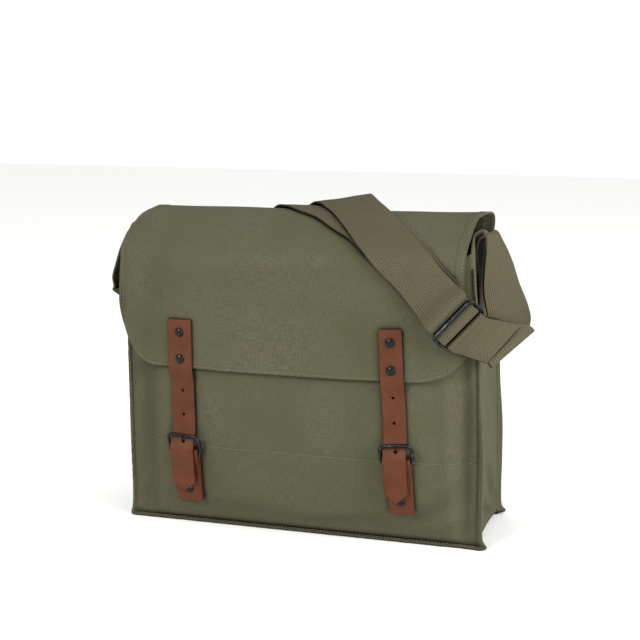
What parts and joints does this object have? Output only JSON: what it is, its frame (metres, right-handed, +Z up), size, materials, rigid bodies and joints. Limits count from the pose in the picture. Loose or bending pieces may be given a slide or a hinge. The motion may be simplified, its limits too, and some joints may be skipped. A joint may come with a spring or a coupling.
{
  "type": "medical kit bag",
  "caption": "Square canvas shoulder bag with a fold-over flap, buckled leather closing straps and a webbing shoulder strap laid over it.",
  "frame": {"origin": "middle of the flat bottom", "axes": "+Z up, the front faces -Y, +X to the right seen from the front"},
  "size_m": [0.403, 0.1549, 0.3001],
  "materials": {
    "canvas": "plain-weave cotton canvas, matt",
    "webbing": "ribbed cotton webbing, matt",
    "leather": "oiled, slight sheen",
    "dark_metal": "blackened, glossy"
  },
  "bodies": {
    "root": {"front_panel": "canvas", "back_panel": "canvas", "gusset": "canvas", "front_seam": "canvas", "back_seam": "canvas", "flap": "canvas", "strap_left": "leather", "chape_left": "leather", "buckle_left": "dark_metal", "prong_left": "dark_metal", "rivet_left_upper": "dark_metal", "rivet_left_lower": "dark_metal", "rivet_left_chape": "dark_metal", "strap_right": "leather", "chape_right": "leather", "buckle_right": "dark_metal", "prong_right": "dark_metal", "rivet_right_upper": "dark_metal", "rivet_right_lower": "dark_metal", "rivet_right_chape": "dark_metal", "short_strap": "webbing", "long_strap": "webbing", "slider": "dark_metal"}
  },
  "joints": []
}
